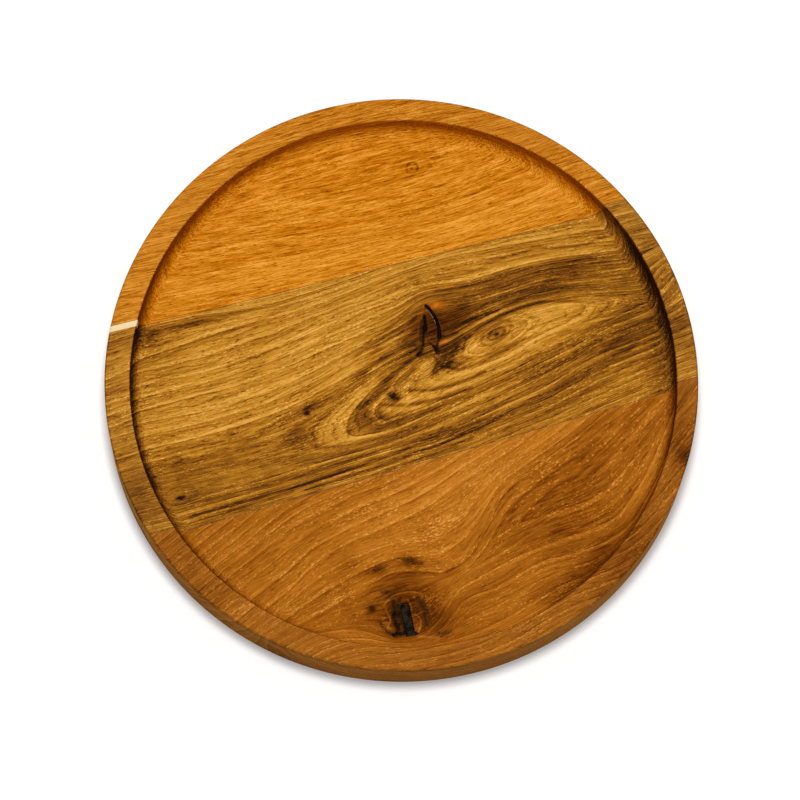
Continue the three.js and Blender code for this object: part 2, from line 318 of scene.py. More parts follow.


# Figures of the three staves, read off and set, in millimetres from the middle of the board.
# Growth: the axis, the ring count along it (depth), lines on its far and near side with their ring counts,
# how rings close round the axis (tip), lean and dome above the floor, and the spacing of rings further out.
# Marks: knots bend the rings, tones follow ring counts, stains and rim_stains darken or pale the wood, cores
# are the black of knots, warmth is reddish, sap is pale sapwood, and the painted highlight beside the crack
# is pale. Zones get a finer mesh.
MIDDLE_FIGURE = {
    "axis": [(-140, -21), (-75, -21), (-50, -19.5), (-33, -16.5), (-17, -11.5), (0, -4.5), (17, 2.5),
             (35, 8), (54, 14), (75, 17), (97, 18), (118, 17), (140, 14)],
    "depth": [(-140, 5.8), (-90, 5.65), (-62, 5.35), (-50, 5), (-33, 4), (-17, 3), (0, 2.1), (17, 1.4),
              (35, 0.5), (54, 0), (73, 0.4), (102, 1), (118, 2), (140, 3)],
    "far": [
        (6, [(-128, -6.7), (-67, -4.5), (-50, -1), (-34, 4.4), (-17, 10), (5, 16.7), (16, 18.5), (30, 20),
             (45, 24), (67, 28.5), (90, 28.5), (110, 25), (134, 21)]),
        (7, [(-125, 0), (-95, 0), (-56, 3.5), (-34, 9), (-17, 14.5), (5, 20.5), (16, 22.5), (37, 25.5),
             (62, 29.7), (84, 30.5), (106, 27.2), (134, 23.5)]),
        (8, [(-125, 7), (-95, 6.7), (-67, 8.5), (-45, 12.5), (-23, 18.5), (5, 25), (16, 27.5), (40, 30),
             (62, 32), (84, 33), (106, 30), (134, 26)]),
        (9, [(-125, 13.5), (-95, 12.5), (-67, 14.4), (-45, 18), (-23, 24), (5, 30.5), (16, 34), (28, 36),
             (45, 34.5), (62, 35), (84, 36.5), (106, 34), (134, 30)]),
        (10, [(-125, 20.5), (-95, 21), (-60, 23.5), (-34, 28.5), (-12, 32.5), (9, 37.5), (23, 43),
              (39, 41.5), (62, 40.5), (84, 42), (106, 40), (134, 36)]),
        (12, [(-125, 33), (-78, 33), (-56, 35.5), (-34, 40), (-12, 43), (5, 45), (26, 48), (45, 46.5),
              (84, 47), (106, 45), (134, 41)]),
        (13, [(-125, 40.5), (-95, 40), (-67, 42.8), (-34, 46.7), (-5, 51), (28, 55.5), (72, 54.4),
              (117, 49), (140, 45)]),
        (14, [(-125, 47), (-78, 51.5), (-23, 53.5), (5, 57.5), (28, 60), (72, 59), (117, 55), (140, 51)]),
        (15, [(-140, 60.5), (-93, 59.4), (-67, 57), (-23, 57.5), (5, 60.5), (28, 63), (72, 64), (140, 60)]),
    ],
    "near": [
        (6, [(-128, -30), (-78, -30), (-45, -28.3), (-5, -26.4), (17, -23), (39, -19), (62, -14.4),
             (84, -9), (106, -2.5), (134, 2)]),
        (7, [(-128, -36), (-67, -34.4), (-34, -32), (-5, -30.5), (28, -27), (50, -22.5), (73, -18),
             (95, -11), (134, -5)]),
        (9, [(-128, -40.5), (-67, -38.5), (-34, -36.5), (-5, -35.5), (28, -32.5), (50, -28.5),
             (73, -24.5), (95, -18.5), (134, -12)]),
        (11, [(-128, -46), (-67, -43.5), (-5, -41), (28, -38.5), (50, -35), (73, -31.5), (95, -27),
              (134, -21)]),
    ],
    "tip": 1.9,
    "far_lean": [(-130, -0.5), (0, 0.4), (130, 1.8)],
    "near_lean": [(-130, 1.9), (0, 1.0), (130, 0.6)],
    "dome": 0.06,
    "spacing": 3.0,
    "knots": [Spot(-49.9, -1.6, 7, 4.5, 10, -0.8), Spot(-122.7, -28, 9, 4, 0, -1.2),
              Spot(10, -30.6, 7, 4, 10, -1.0), Spot(-4.7, -3.4, 5, 4, 30, 0.6),
              Spot(53.5, 14.4, 13, 4.6, 14, -2.6)],
    "tones": [(0, 0.1), (0.4, 0.08), (0.6, -0.02), (1.3, -0.04), (1.6, 0.04), (2.4, 0.04), (2.9, 0.1),
              (3.1, 0.16), (3.6, 0.16), (3.75, 0.12), (4.0, 0.12), (4.1, 0.0), (4.95, 0.0), (5.05, 0.14),
              (5.6, 0.16), (6.0, 0.1), (6.5, 0.06), (7.4, 0.02), (8, 0.0), (10, 0.0), (12, 0.02),
              (16, 0.04)],
    "stains": [
        # Grey streak along the back joint
        Spot(-103, 59.6, 24, 1.9, -1, 0.32), Spot(-117, 55.6, 6, 3.6, 10, 0.4),
        Spot(-80, 58.4, 20, 1.7, 0, 0.22),
        # Left part
        Stroke(0.8, 0.22, [(-82, 33.4), (-70, 33.8), (-60, 35.2), (-50, 36.6), (-38, 37.6)]),
        Stroke(0.8, 0.18, [(-80, 40), (-62, 40.4), (-46, 43), (-33, 45.6)]),
        Stroke(0.8, 0.16, [(-96, 49.6), (-80, 50.2), (-64, 51.2), (-52, 53)]),
        Spot(-117, 35, 11, 5, 0, 0.12), Spot(-70, 26, 8, 4, 10, 0.05),
        Stroke(1.1, 0.18, [(-130, -4.4), (-112, -4.8), (-98, -6), (-86, -6.2), (-74, -4.6), (-62, -1.8),
                           (-54, 0)]),
        Stroke(1.0, -0.14, [(-118, -8.4), (-100, -9), (-84, -9.2), (-70, -8.4), (-60, -6.4), (-52, -3.6)]),
        Stroke(0.9, 0.14, [(-130, 4.6), (-112, 4.4), (-95, 3.6), (-80, 4)]),
        Spot(-92, -16, 42, 6, 0, 0.12), Spot(-45, 2.6, 9, 2.6, 18, 0.14), Spot(-98, 35.5, 20, 2.6, 1, 0.1),
        Spot(-95, 28, 22, 2.4, 0, -0.08), Spot(-72, 54.4, 16, 3, 2, -0.1),
        Spot(-105, -7.4, 24, 2, -1, -0.12), Spot(-112, -15, 24, 4, 0, 0.14), Spot(-120, -28, 9, 4, 0, 0.24),
        Spot(-100, -42, 26, 1.8, 2, 0.2),
        # Outside the pointed figure
        Spot(-57, -14, 6.5, 7, 10, 0.28), Spot(-50, -1.6, 4, 3.4, 10, 0.22),
        Stroke(1.0, 0.3, [(-50, -20.4), (-43, -22), (-35, -23), (-24, -23.6), (-12, -23.4), (2, -22.2)]),
        Stroke(1.2, 0.12, [(-50, -13), (-48, -9.6), (-42, -6.2), (-34, -1.6), (-26, 2.6), (-16, 7.4)]),
        Stroke(2.4, 0.1, [(-48, 1.6), (-38, 4), (-28, 7.6), (-16, 12)]),
        # Pale band, dark band and core of the pointed figure
        Spot(-39, -13, 5, 6, 35, 0.05), Spot(-45, -15, 4, 4, 20, -0.03),
        Stroke(1.6, 0.12, [(-28, -2), (-34, -8), (-36, -14), (-34, -19)]),
        Stroke(2.0, 0.1, [(-40, -3), (-47, -9), (-51, -15), (-49, -20)]),
        Stroke(3.0, 0.18, [(-8, 4.4), (0, 8.6), (7, 12)]),
        Spot(6, 1.5, 7, 4, 10, 0.16), Spot(8, 4, 5, 3.4, 20, 0.14),
        Stroke(2.0, -0.06, [(-38, -8), (-30, -3), (-20, 2.2), (-12, 5.8)]),
        Stroke(0.9, 0.08, [(-8, 7), (-20, 0.6), (-28, -5), (-32.4, -10.4), (-33, -14.4), (-29, -18),
                           (-20, -20), (-8, -21), (6, -21), (18, -20)]),
        Stroke(3.8, 0.18, [(13, 14.5), (4, 11), (-4, 7.6), (-11, 3.6), (-17, -0.6), (-22, -5), (-24, -10),
                           (-21, -14.4), (-14, -16.8), (-4, -17.6), (8, -17.2), (20, -15.8), (31, -14)]),
        Stroke(2.2, 0.14, [(-13, -0.6), (-18, -4), (-20.4, -8), (-18.6, -12), (-12, -14.4)]),
        Spot(-23.5, -9.5, 4, 5.6, -20, 0.06), Spot(-5, -3.6, 5, 4, -45, 0.2),
        Spot(-14, -6, 3.5, 4, -20, -0.05),
        Stroke(0.9, 0.28, [(-12, -6.6), (-8, -8.4), (0, -10), (10, -10.9), (20, -11), (31, -10)]),
        Stroke(1.5, -0.18, [(-9, -10.4), (-3, -11.8), (6, -13), (16, -13.4), (30, -11.6)]),
        Stroke(1.0, -0.1, [(-2, -8), (6, -8.4), (15, -9)]),
        Stroke(0.8, 0.42, [(3, -3), (9, -4.6), (16, -5.8), (25, -6), (34, -5), (43, -3)]),
        Stroke(0.8, -0.2, [(1, 6.6), (6, 9.6), (12, 12.4)]),
        Stroke(0.8, 0.14, [(-1, 1.4), (5, 4.6), (10, 8)]),
        # Dark lines that run up to the main knot
        Spot(-4, 27, 13, 4, 22, 0.14), Spot(6, 17, 12, 4, 20, 0.1),
        Stroke(0.7, 0.22, [(-20, 20.2), (-12, 23.6), (-4, 26.4), (4, 29), (9, 31)]),
        Stroke(0.7, 0.18, [(-14, 25.6), (-6, 28.6), (2, 31.6)]),
        Stroke(0.7, 0.22, [(-8, 23.2), (0, 25.8), (8, 28)]),
        Stroke(1.5, 0.22, [(-22, 9.6), (-14, 13.4), (-5, 16.8), (4, 19.2), (12, 20.4)]),
        Stroke(0.7, -0.24, [(-13, 11.6), (-5, 14.4), (3, 16.8), (11, 18.4)]),
        Stroke(0.9, 0.2, [(0, 30.6), (8, 34.6), (14, 38)]),
        Stroke(1.1, 0.22, [(6, 27.6), (12, 30.6), (17, 34)]),
        Stroke(1.2, 0.2, [(4, 21.4), (10, 24), (15, 27)]),
        # Round the main knot
        Spot(25, 26, 11, 14, 0, 0.42), Spot(39, 28.5, 12, 7, 4, 0.4), Spot(13, 24, 6, 11, -15, 0.16),
        Spot(27, 46, 9, 4, 0, 0.2), Spot(27, 3, 8, 3, 10, 0.2), Spot(28, 1.4, 7, 2.4, 5, 0.16),
        Spot(33, 40, 5, 3, 0, 0.2), Spot(31, 33, 6, 3, 0, -0.12), Spot(20, 52, 16, 4, 0, 0.08),
        Spot(-3, 16, 6, 4, 25, 0.16), Spot(28.4, 37.6, 4.4, 2.6, 0, -0.62),
        Spot(15, 8.4, 5, 3.4, 20, -0.16), Spot(27, 17.4, 4, 1.5, 2, -0.6), Spot(31, 14.6, 10, 2.6, 14, 0.4),
        Spot(27, 7.4, 8, 3.6, 20, 0.26), Spot(12, 14, 6, 2.6, 15, 0.2),
        Stroke(0.6, -0.2, [(4, 7.4), (8, 9.8), (12, 12)]),
        Stroke(1.0, 0.3, [(32, 23.4), (37, 24), (43, 24.6), (50, 25.6), (58, 26.8)]),
        Stroke(2.0, 0.5, [(33, 12.6), (28.5, 9.4), (24.5, 6.8), (20.4, 5), (18.4, 3.2)]),
        # Eye to the right of the knot
        Stroke(0.9, 0.36, [(35.4, 11), (38, 15), (44, 18.6), (52, 21.6), (60, 23.8), (70, 25), (80, 25.2),
                           (90, 23.6), (98, 21), (106, 18)]),
        Stroke(0.5, 0.36, [(49.6, 13.4), (51, 15.8), (54.5, 17.3), (58, 16.9), (58.6, 15.2), (56.5, 13),
                           (53, 12), (50.4, 12.4), (49.6, 13.4)]),
        Stroke(0.6, 0.22, [(45.4, 12.6), (47, 15.6), (51, 18.2), (56, 20), (61, 20.4), (63, 18.6),
                           (62, 15.6), (57, 12), (51, 10), (47, 10.4), (45.4, 12.6)]),
        Stroke(0.7, 0.14, [(40.4, 12), (44, 16.2), (50, 19.8), (57, 22), (66, 23), (72, 21), (74, 17.6)]),
        Spot(53, 14.6, 6, 2.6, 14, 0.3), Spot(40.6, 10.8, 5, 3, 30, -0.26),
        Spot(84, 18.4, 17, 4.6, 4, -0.13), Spot(66, 21.6, 12, 2.4, 6, 0.1),
        Spot(74, 11.4, 12, 2.4, 4, -0.12),
        Stroke(0.9, 0.26, [(20.5, 11), (21.6, 6.6), (26, 3.4), (33, 1.8), (42, 2), (51, 4), (59, 6.8),
                           (68, 9.4)]),
        Stroke(0.7, 0.16, [(24, 10), (27, 6.5), (33, 4.6), (42, 4.8), (50, 6.4), (57, 8.6)]),
        Stroke(0.6, 0.12, [(62, 13), (76, 13.6), (92, 15.6), (104, 17.4)]),
        Spot(111, 18.6, 3, 1.6, 10, 0.16),
        # Dark upper right
        Spot(76, 38, 44, 8, 0, 0.46), Spot(84, 29, 46, 4, -4, 0.18), Spot(70, 53, 60, 4, 0, 0.08),
        Spot(101, 36, 3, 5, 0, 0.1), Spot(115, 35, 15, 11, 0, 0.12), Spot(106, 39, 10, 3, -6, -0.06),
        Spot(125, 25, 7, 4, 0, 0.18), Spot(131, 40, 5, 9, 20, 0.16),
        Stroke(0.9, 0.2, [(34, 23.6), (45, 25.6), (55, 27), (65, 28.6), (75, 30.2), (85, 30.6), (96, 29.4),
                          (110, 26.4)]),
        Stroke(0.7, 0.2, [(50, 31), (60, 32.4), (70, 33.2), (80, 33.4), (92, 33)]),
        Stroke(0.7, -0.2, [(46, 33.4), (56, 34.6), (68, 35), (84, 35.2)]),
        Stroke(1.2, 0.2, [(30, 44.6), (42, 43), (56, 43.8), (74, 44.4), (96, 44), (114, 41.4)]),
        Stroke(1.3, -0.16, [(20, 46.8), (36, 47.4), (58, 47.6), (84, 47.8), (104, 46), (118, 44)]),
        Stroke(0.8, 0.2, [(58, 52.4), (72, 52.8), (86, 54), (98, 51), (112, 49.6), (122, 51)]),
        Spot(89, 54, 3, 1.4, 0, 0.14),
        Stroke(0.7, 0.12, [(18, 54.8), (34, 55.4), (52, 55)]),
        Stroke(0.7, 0.12, [(20, 50.4), (40, 50.6), (58, 50)]),
        # Near part, lines alternately pale and dark
        Spot(-20, -34, 110, 8, 2, 0.38), Spot(-12, -31.4, 12, 2.4, 4, -0.2),
        Spot(-50, -31, 40, 2.6, 1, -0.12), Spot(-25, -34.6, 26, 1.8, 3, -0.12),
        Stroke(0.8, -0.2, [(-95, -29.4), (-80, -28.6), (-64, -28.2), (-48, -28.7), (-34, -29), (-20, -28.6),
                           (-6, -27.4), (8, -25.8), (20, -23.8), (34, -21)]),
        Stroke(1.2, 0.16, [(-110, -33.4), (-85, -33), (-62, -32.4), (-40, -31.4), (-22, -30), (-6, -29.4)]),
        Stroke(0.8, -0.24, [(-126, -37.4), (-106, -36.8), (-88, -36), (-72, -35.5), (-56, -34.8),
                            (-42, -33.6), (-28, -32.4), (-14, -31)]),
        Stroke(1.1, 0.26, [(-120, -39.2), (-95, -38.2), (-70, -37.6), (-50, -36.6), (-34, -35.4),
                           (-18, -34), (-4, -32.2)]),
        Stroke(0.7, -0.22, [(-66, -39.6), (-52, -38.6), (-40, -37.8), (-28, -36.6), (-12, -34.6),
                            (2, -33.8), (14, -32.6)]),
        Stroke(0.9, 0.2, [(-60, -40.8), (-44, -39.6), (-26, -38.2), (-8, -36.4), (8, -34.8), (24, -32)]),
        Stroke(0.7, -0.22, [(-52, -42), (-38, -41), (-22, -39.8), (-6, -37.8), (10, -36.2), (26, -33.8)]),
        Stroke(0.8, 0.18, [(-26, -41.4), (-8, -39.4), (10, -37.8), (28, -35.4)]),
        # Near part, right
        # The spots at x 131 and 136 darken the cove and wall at the right end: partly a dark stain, partly
        # painted shade
        Spot(98, -9, 52, 15, 12, 0.28), Spot(60, -28, 60, 8, 10, 0.08), Spot(131, -22, 7, 24, -10, 0.3),
        Spot(136, 25, 6, 24, 0, 0.2), Spot(59, -31, 16, 3.4, 12, -0.16), Spot(58, -6.6, 14, 2, 10, -0.1),
        Spot(116, 2, 16, 26, 0, 0.12),
        Stroke(0.8, 0.15, [(60, -3.4), (68, -1.6), (78, 0), (90, 2.6)]),
        Stroke(1.0, 0.17, [(46, -12.4), (56, -10.6), (66, -9), (78, -7), (92, -4.4)]),
        Stroke(0.7, 0.18, [(60, -13.4), (68, -12), (78, -10), (90, -8)]),
        Stroke(0.8, 0.18, [(20, -17.4), (30, -15.6), (42, -13)]),
        Stroke(0.7, -0.2, [(20, -18.6), (32, -17), (46, -14.6), (60, -12)]),
        Stroke(0.7, -0.2, [(36, -21.6), (50, -18.8), (64, -15.6), (76, -12.8), (90, -9.6), (104, -6)]),
        Stroke(1.2, 0.18, [(18, -29.6), (32, -28.4), (45, -27.2), (56, -25), (66, -22.6), (76, -20.6),
                           (90, -17), (106, -12.4), (122, -8)]),
        Stroke(0.8, -0.16, [(20, -27), (36, -25.6), (52, -23), (68, -19.6), (84, -15.6), (104, -9.6)]),
        Stroke(0.8, 0.14, [(20, -32.4), (40, -30.2), (60, -26.8), (80, -22.4), (104, -16)])],
    "rim_stains": [Spot(-135, 55, 14, 3.5, 0, 0.16), Spot(-139, 30, 10, 1.6, 4, 0.2),
                   Spot(-145, -32, 14, 10, 0, 0.3), Spot(-145, 10, 10, 40, 0, 0.1),
                   Spot(-143, -22, 8, 8, 0, 0.14), Spot(130, 61.5, 10, 1.6, 4, 0.22),
                   Spot(133, 54, 9, 1.4, 2, 0.22), Spot(136, 45.5, 9, 2, 6, 0.25),
                   Spot(139, 34.5, 8, 1.3, 8, 0.25), Spot(143, -5, 10, 14, 0, 0.36),
                   Spot(142, 20, 10, 9, 0, 0.12)],
    "cores": [Spot(-49.9, -1.6, 1.9, 1.6, 10, 0.9), Spot(-122.7, -28.6, 3.4, 1.3, 0, 0.9),
              Spot(10.6, -30.4, 1.4, 2.4, 10, 0.5), Spot(-5.2, -4, 4.2, 2.8, -50, 0.75),
              Spot(54, 14.5, 1.7, 1.1, 15, 0.75),
              Spot(18, 26, 2.6, 8, -14, 0.22), Spot(22, 15, 3, 3, 0, 0.24), Spot(26, 23, 1.8, 4, 0, 0.3),
              Spot(33, 22, 6, 3.4, 0, 0.22), Spot(34, 30, 5, 7, 0, 0.12),
              Stroke(1.0, 0.75, [(21, 33), (20.6, 30.4), (19.7, 27.4), (18.4, 24.4), (17.2, 21.2),
                                 (16.2, 18.2), (14.6, 15.8), (12.4, 14)]),
              Stroke(1.4, 0.34, [(20.6, 31.4), (20, 28.4), (18.8, 25.6)]),
              Stroke(0.6, 0.4, [(20.6, 26.4), (19.8, 23.6), (19.4, 21), (20, 18.6), (21.4, 16.8)]),
              Stroke(0.8, 0.4, [(18.6, 31), (17.2, 27.4), (16.2, 24), (15.2, 20.6)]),
              Stroke(0.7, 0.35, [(22.9, 38.4), (21.8, 36), (21.2, 34)]),
              Stroke(1.1, 0.4, [(23.4, 38), (24.6, 34.4), (26.2, 30.4), (27.2, 26.6), (26.6, 22.8),
                                (25.4, 20)]),
              Stroke(0.7, 0.45, [(19.4, 26.6), (21.4, 27.9), (23.6, 27.6), (25, 26.6)]),
              Stroke(0.8, 0.4, [(19.6, 18.6), (20.6, 17), (22, 15)]),
              Stroke(1.2, 0.55, [(25, 20.4), (23.8, 18), (22.6, 15.4), (22.4, 13.6)]),
              Stroke(0.9, 0.45, [(25.6, 20.5), (30, 19.9), (35, 20.4)]),
              Stroke(1.6, 0.5, [(22.6, 12.4), (26.4, 13), (30, 14), (34, 15.4), (38, 16.6), (41, 17.2)]),
              Stroke(1.5, 0.35, [(9, 12.8), (13, 14), (17, 13.8)]),
              Stroke(1.8, 0.45, [(18.4, 3.8), (20, 6.4), (23, 8.8), (27, 10.4)]),
              Spot(33, 24.4, 1.4, 1, 0, 0.35), Spot(37, 25, 2, 1, 10, 0.3),
              Spot(36.6, 38.6, 2, 1.2, 0, 0.25)],
    "warmth": [Spot(22, 27, 6, 11, -8, 1.0), Spot(27, 17.4, 4.4, 1.8, 2, 0.8),
               Spot(28.4, 37.6, 4.8, 2.8, 0, 1.0), Spot(35, 28, 10, 7, 0, 0.8), Spot(96, 40, 4, 6, 0, 0.5),
               Spot(13, 28, 5, 9, -20, 0.5)],
    "sap": (60.4, -117, 24),
    # Painted highlight: a thin pale line along the crack's left lip, standing in for the shine on the resin
    "painted_highlight": [Stroke(0.24, 0.22, [(23.6, 36), (24.5, 33.4), (25.2, 30.8), (25.6, 28)])],
    "zones": [Zone(25, 22, 19, 3), Zone(54, 14.5, 4, 2), Zone(-49.9, -1.6, 5, 2), Zone(-122.7, -28, 6, 2),
              Zone(10, -30.6, 5, 2), Zone(-4.7, -3.4, 6, 2)],
}

FRONT_FIGURE = {
    "axis": [(-130, -125), (-75, -112), (-50, -111), (-28, -113), (-12, -108), (0, -103.5), (20, -95),
             (33, -87), (56, -78), (78, -72), (100, -59), (125, -42), (140, -33)],
    "depth": [(-130, 2.8), (-60, 2.7), (-28, 2.6), (0, 2.3), (20, 1.6), (50, 0.7), (80, 0.25), (125, 0)],
    "far": [
        (3, [(-110, -116), (-75, -106), (-58, -100.5), (-40, -95.5), (-26, -93), (-14, -96), (-5, -98.5),
             (3, -97.5), (11, -94), (20, -85.6), (36, -67.5), (55, -59), (78, -49), (97, -40), (130, -25)]),
        (5, [(-105, -107), (-85, -96), (-66, -87), (-45, -81.5), (-25, -79), (-5, -80), (12, -74),
             (30, -60), (50, -51), (78, -40), (97, -31)]),
        (6, [(-100, -98), (-80, -88), (-63, -78), (-47, -73), (-25, -69), (-3, -64), (15, -56), (45, -46),
             (70, -35), (97, -24)]),
        (9, [(-103, -72), (-69, -57), (-42, -50.5), (-14, -46), (15, -39), (45, -28)]),
    ],
    "near": [
        (3, [(-120, -128), (-90, -117), (-62, -114.5), (-48, -119), (-36, -126), (-24, -127), (-12, -120),
             (0, -110), (16, -105), (33, -101), (56, -97), (78, -95.5), (89, -92), (100, -83), (111, -72),
             (122, -58), (133, -47), (140, -40)]),
        (4, [(-120, -135), (-90, -124), (-62, -119.5), (-48, -123), (-36, -128), (-24, -129.5), (-12, -126),
             (0, -117), (22, -112.5), (47, -106), (62, -106), (83, -103), (95, -98), (110, -84), (125, -68),
             (140, -54)]),
        (6, [(-120, -146), (-62, -128), (-36, -132), (-24, -133.5), (-7, -134), (15, -131), (47, -122),
             (92, -113), (125, -92)]),
    ],
    "tip": 1.35,
    "far_lean": [(-130, -0.6), (130, 0.6)],
    "near_lean": [(-130, 0.8), (130, 0.8)],
    "dome": 0.09,
    "spacing": 5.0,
    "knots": [Spot(-28, -116, 12, 10, 0, -1.5)],
    "tones": [(0, 0.12), (1.6, 0.14), (2.6, 0.1), (3.0, 0.05), (5, 0.02), (7, -0.02), (9, 0.04),
              (16, 0.06)],
    "stains": [
        # Lens on the right, and slow changes of tone across the stave
        Spot(62, -74, 32, 14, 26, 0.19), Spot(60, -92, 12, 4, 10, 0.16), Spot(80, -108, 30, 10, 28, 0.3),
        Spot(20, -120, 40, 10, 5, 0.11), Spot(52, -105.4, 10, 2.4, 6, 0.14),
        Spot(50, -130, 9, 3.4, 15, 0.14), Spot(92, -106, 14, 6, 35, -0.06), Spot(78, -67, 9, 3, 28, -0.08),
        Spot(8, -65, 8, 4, 10, -0.06), Spot(60, -122, 24, 7, 26, 0.2), Spot(60, -101.5, 12, 3, 8, 0.16),
        Spot(56, -129, 12, 4, 20, 0.16),
        Stroke(0.8, 0.18, [(-2, -98.6), (6, -97), (13, -92.6), (19, -86), (26, -78), (34, -70), (44, -63),
                           (56, -57), (70, -51.5), (84, -45), (98, -38)]),
        Stroke(4.0, -0.06, [(28, -80), (36, -73), (46, -67), (58, -61.5), (72, -56)]),
        Stroke(1.6, -0.08, [(4, -99.6), (14, -95), (22, -87), (30, -79.4), (38, -72.6)]),
        Stroke(0.7, 0.14, [(24, -88), (34, -79), (46, -71), (60, -64.6), (76, -58)]),
        Stroke(0.7, 0.14, [(18, -101), (40, -98.6), (55, -97.4), (70, -94), (84, -90), (96, -83.6),
                           (106, -74)]),
        Stroke(0.6, -0.2, [(50, -105.2), (66, -105.6), (80, -104.4), (90, -101)]),
        Stroke(0.8, 0.16, [(0, -118.4), (22, -114.4), (42, -109), (60, -107.4), (80, -106.6)]),
        Spot(4.5, -72, 4, 1.6, 18, -0.24), Spot(116, -66, 18, 3.5, 52, -0.1),
        Spot(10, -52, 45, 12, 12, -0.1), Spot(-75, -70, 40, 25, 30, 0.05),
        # Round the knot
        Spot(-35.6, -89.6, 5.6, 3.2, -5, 0.4), Spot(-18.4, -89.6, 6, 3.6, -30, 0.42),
        Spot(-44, -108.4, 2.2, 1.9, 0, 0.3), Spot(-50, -84, 6, 6, 0, 0.18), Spot(-53, -96, 4, 5, 0, 0.12),
        Spot(-15, -131, 10, 2.6, 0, 0.12), Spot(-28, -114, 14, 13, 0, 0.44), Spot(-30, -98, 11, 8, 0, 0.08),
        Spot(-13, -117, 8, 13, 0, 0.18), Spot(-6, -126, 12, 6, 0, 0.14),
        Spot(-27, -107.6, 1.8, 1.1, 0, -0.4), Spot(-24, -121, 1.6, 3.6, 0, -0.24),
        Spot(-44, -122, 5, 4, 0, -0.06),
        Stroke(0.4, -0.3, [(-37.4, -108), (-33.4, -104.8), (-28, -104), (-22, -104.8), (-18, -106.6)]),
        Stroke(0.4, -0.35, [(-36.8, -111.6), (-36.2, -116.4), (-38.6, -119.4)]),
        Stroke(0.4, -0.35, [(-25.2, -108), (-24.4, -111), (-24.6, -114)]),
        Stroke(0.4, -0.35, [(-26, -117.2), (-23.6, -116.4), (-21.6, -119), (-22.4, -123), (-24.6, -126)]),
        Stroke(0.6, -0.24, [(-25, -127.4), (-20, -129.2), (-15, -130.6)])],
    "rim_stains": [Spot(128, -74, 5, 9, 40, 0.2), Spot(129, -78, 9, 9, 0, 0.18),
                   Spot(90, -112, 44, 16, 50, 0.26), Spot(132, -55, 12, 22, 0, 0.2),
                   Spot(-125, -70, 20, 30, 0, 0.11), Spot(-30, -144, 90, 10, 0, -0.03)],
    "cores": [Stroke(1.9, 0.62, [(-33.8, -114), (-33.8, -118), (-33.6, -123)]),
              Stroke(1.6, 0.45, [(-32.4, -106.6), (-32.6, -110), (-33, -113)]),
              Stroke(1.2, 0.45, [(-36.4, -124), (-32, -124.8), (-28, -125.8)]),
              Stroke(1.0, 0.45, [(-30.4, -109.6), (-30.8, -117), (-30.6, -124)]),
              Stroke(1.8, 0.4, [(-20, -108), (-18.8, -113), (-18.6, -118), (-19.4, -123)]),
              Stroke(1.3, 0.45, [(-41.6, -115), (-40.6, -119), (-38, -122.4), (-36, -124)]),
              Stroke(0.9, 0.3, [(-36, -105.6), (-31, -103.2), (-25, -103), (-19, -105)]),
              Spot(-35.5, -89.4, 5, 2.8, -5, 0.42), Spot(-37.4, -88.6, 0.8, 1.8, 0, 0.2),
              Spot(-18.6, -89.4, 5.6, 3, -30, 0.45), Spot(-13.4, -92, 1.6, 1.4, 0, 0.3),
              Spot(-43.6, -108.2, 2, 2, 0, 0.75), Spot(-11.5, -129.4, 7, 3, -8, 0.42),
              Spot(-15, -117, 4, 9, 0, 0.24), Spot(-35, -101.4, 4, 2.4, 0, 0.5),
              Spot(-29, -115, 10, 10, 0, 0.28)],
    "warmth": [Spot(-28, -115, 12, 11, 0, 0.6), Spot(-27, -107.4, 2.4, 1.6, 0, 0.6),
               Spot(-27, -97, 10, 5, 0, 0.3)],
    "zones": [Zone(-28, -114, 18, 3), Zone(-27, -89, 15, 1)],
}

BACK_FIGURE = {
    "axis": [(-140, 113), (140, 116)],
    "depth": [(-140, 2.9), (-85, 2.0), (-40, 1.0), (0, 0.4), (45, 0.8), (90, 2.0), (140, 2.9)],
    "far": [(3, [(-140, 127), (-50, 135), (0, 138), (60, 136), (140, 127)])],
    "near": [
        (3, [(-140, 99), (-85, 97), (-20, 90), (45, 88.5), (85, 94), (140, 104)]),
        (4, [(-140, 88), (-60, 82), (0, 80), (60, 80), (140, 91)]),
        (6, [(-140, 71), (-60, 67), (0, 66), (60, 67), (140, 73)]),
    ],
    "tip": 1.5,
    "far_lean": [(-130, -1.0), (130, -1.0)],
    "near_lean": [(-130, 1.9), (130, 1.9)],
    "dome": 0.2,
    "spacing": 7.0,
    "knots": [Spot(35.2, 111.8, 6, 4.5, 0, -0.7)],
    "tones": [(0, 0.05), (2, 0.03), (4, -0.02), (8, 0.02)],
    "stains": [Spot(35, 111.8, 5, 4, 0, 0.1), Spot(20, 114, 30, 8, 0, 0.06), Spot(100, 70, 8, 3, 0, -0.1),
               Spot(20, 122, 40, 6, 0, 0.05), Spot(-70, 84, 30, 6, 5, 0.04),
               Stroke(0.6, 0.3, [(32.2, 111.6), (33.4, 114), (36, 114.4), (38, 112.6), (37.4, 110),
                                 (34.8, 109.2), (32.6, 110.2), (32.2, 111.6)]),
               Stroke(1.4, -0.1, [(-46, 112), (-30, 107.6), (-10, 103), (10, 99), (24, 97)])],
    "rim_stains": [],
    "cores": [Spot(34.6, 111.6, 1.2, 0.9, 0, 0.5)],
    "warmth": [],
    "zones": [Zone(35.2, 111.8, 4, 2)],
}


# Meshes

def new_mesh(name, points, faces):
    """Mesh from points in millimetres and lists of corners."""
    mesh = bpy.data.meshes.new(name)
    mesh.from_pydata(points * MM, [], faces)
    return mesh


def new_object(name, data):
    """Object at the origin, linked into the scene."""
    piece = bpy.data.objects.new(name, data)
    bpy.context.scene.collection.objects.link(piece)
    return piece


def arc(x, y, radius, start, end, steps):
    """Points of a circular arc, angles in degrees."""
    a = np.radians(np.linspace(start, end, steps + 1))
    return np.stack([x + radius * np.cos(a), y + radius * np.sin(a)], 1)


def straight(start, end, steps):
    """Points between the ends of a straight stretch, ends left out."""
    t = np.linspace(0, 1, steps + 1)[1:-1, None]
    return (1 - t) * np.array(start) + t * np.array(end)


